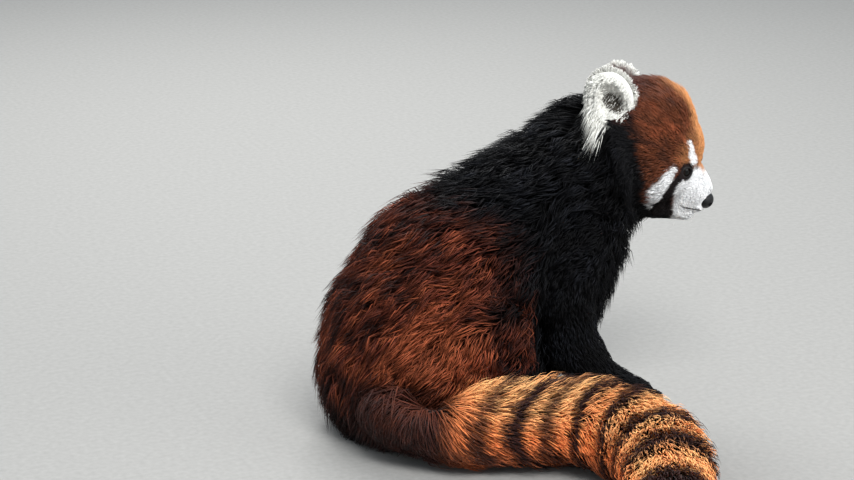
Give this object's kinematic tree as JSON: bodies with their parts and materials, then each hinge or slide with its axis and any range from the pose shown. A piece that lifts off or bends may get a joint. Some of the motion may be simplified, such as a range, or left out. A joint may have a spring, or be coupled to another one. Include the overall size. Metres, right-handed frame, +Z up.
{
  "type": "red panda figure",
  "caption": "Life-size still model of a red panda sitting on its haunches, head turned aside, forelegs straight and bushy ringed tail laid on the floor beside it.",
  "frame": {"origin": "middle of the bounding box at floor level", "axes": "+Z up, +X the way the body faces, +Y the animal's left; the head is turned to its right and the tail runs towards -Y"},
  "size_m": [0.4024, 0.519, 0.3452],
  "materials": {
    "coat_red": "dense rufous fur",
    "coat_black": "dense black fur",
    "coat_face": "short fur, rufous with white muzzle, cheeks and brows",
    "coat_white": "long cream-white fur",
    "coat_tail": "long ringed fur",
    "nose_skin": "moist black nose leather",
    "eye": "wet dark brown eye"
  },
  "bodies": {
    "root": {"head": "coat_face", "nose": "nose_skin", "eye_left": "eye", "eye_right": "eye", "ear_left": "coat_white", "ear_right": "coat_white", "neck": "coat_black", "chest": "coat_black", "torso": "coat_red", "foreleg_left": "coat_black", "foreleg_right": "coat_black", "forepaw_left": "coat_black", "forepaw_right": "coat_black", "hindleg_left": "coat_red", "hindleg_right": "coat_red", "hindfoot_left": "coat_black", "hindfoot_right": "coat_black", "tail_1": "coat_tail", "tail_2": "coat_tail", "tail_3": "coat_tail", "tail_4": "coat_tail", "tail_5": "coat_tail"}
  },
  "joints": []
}
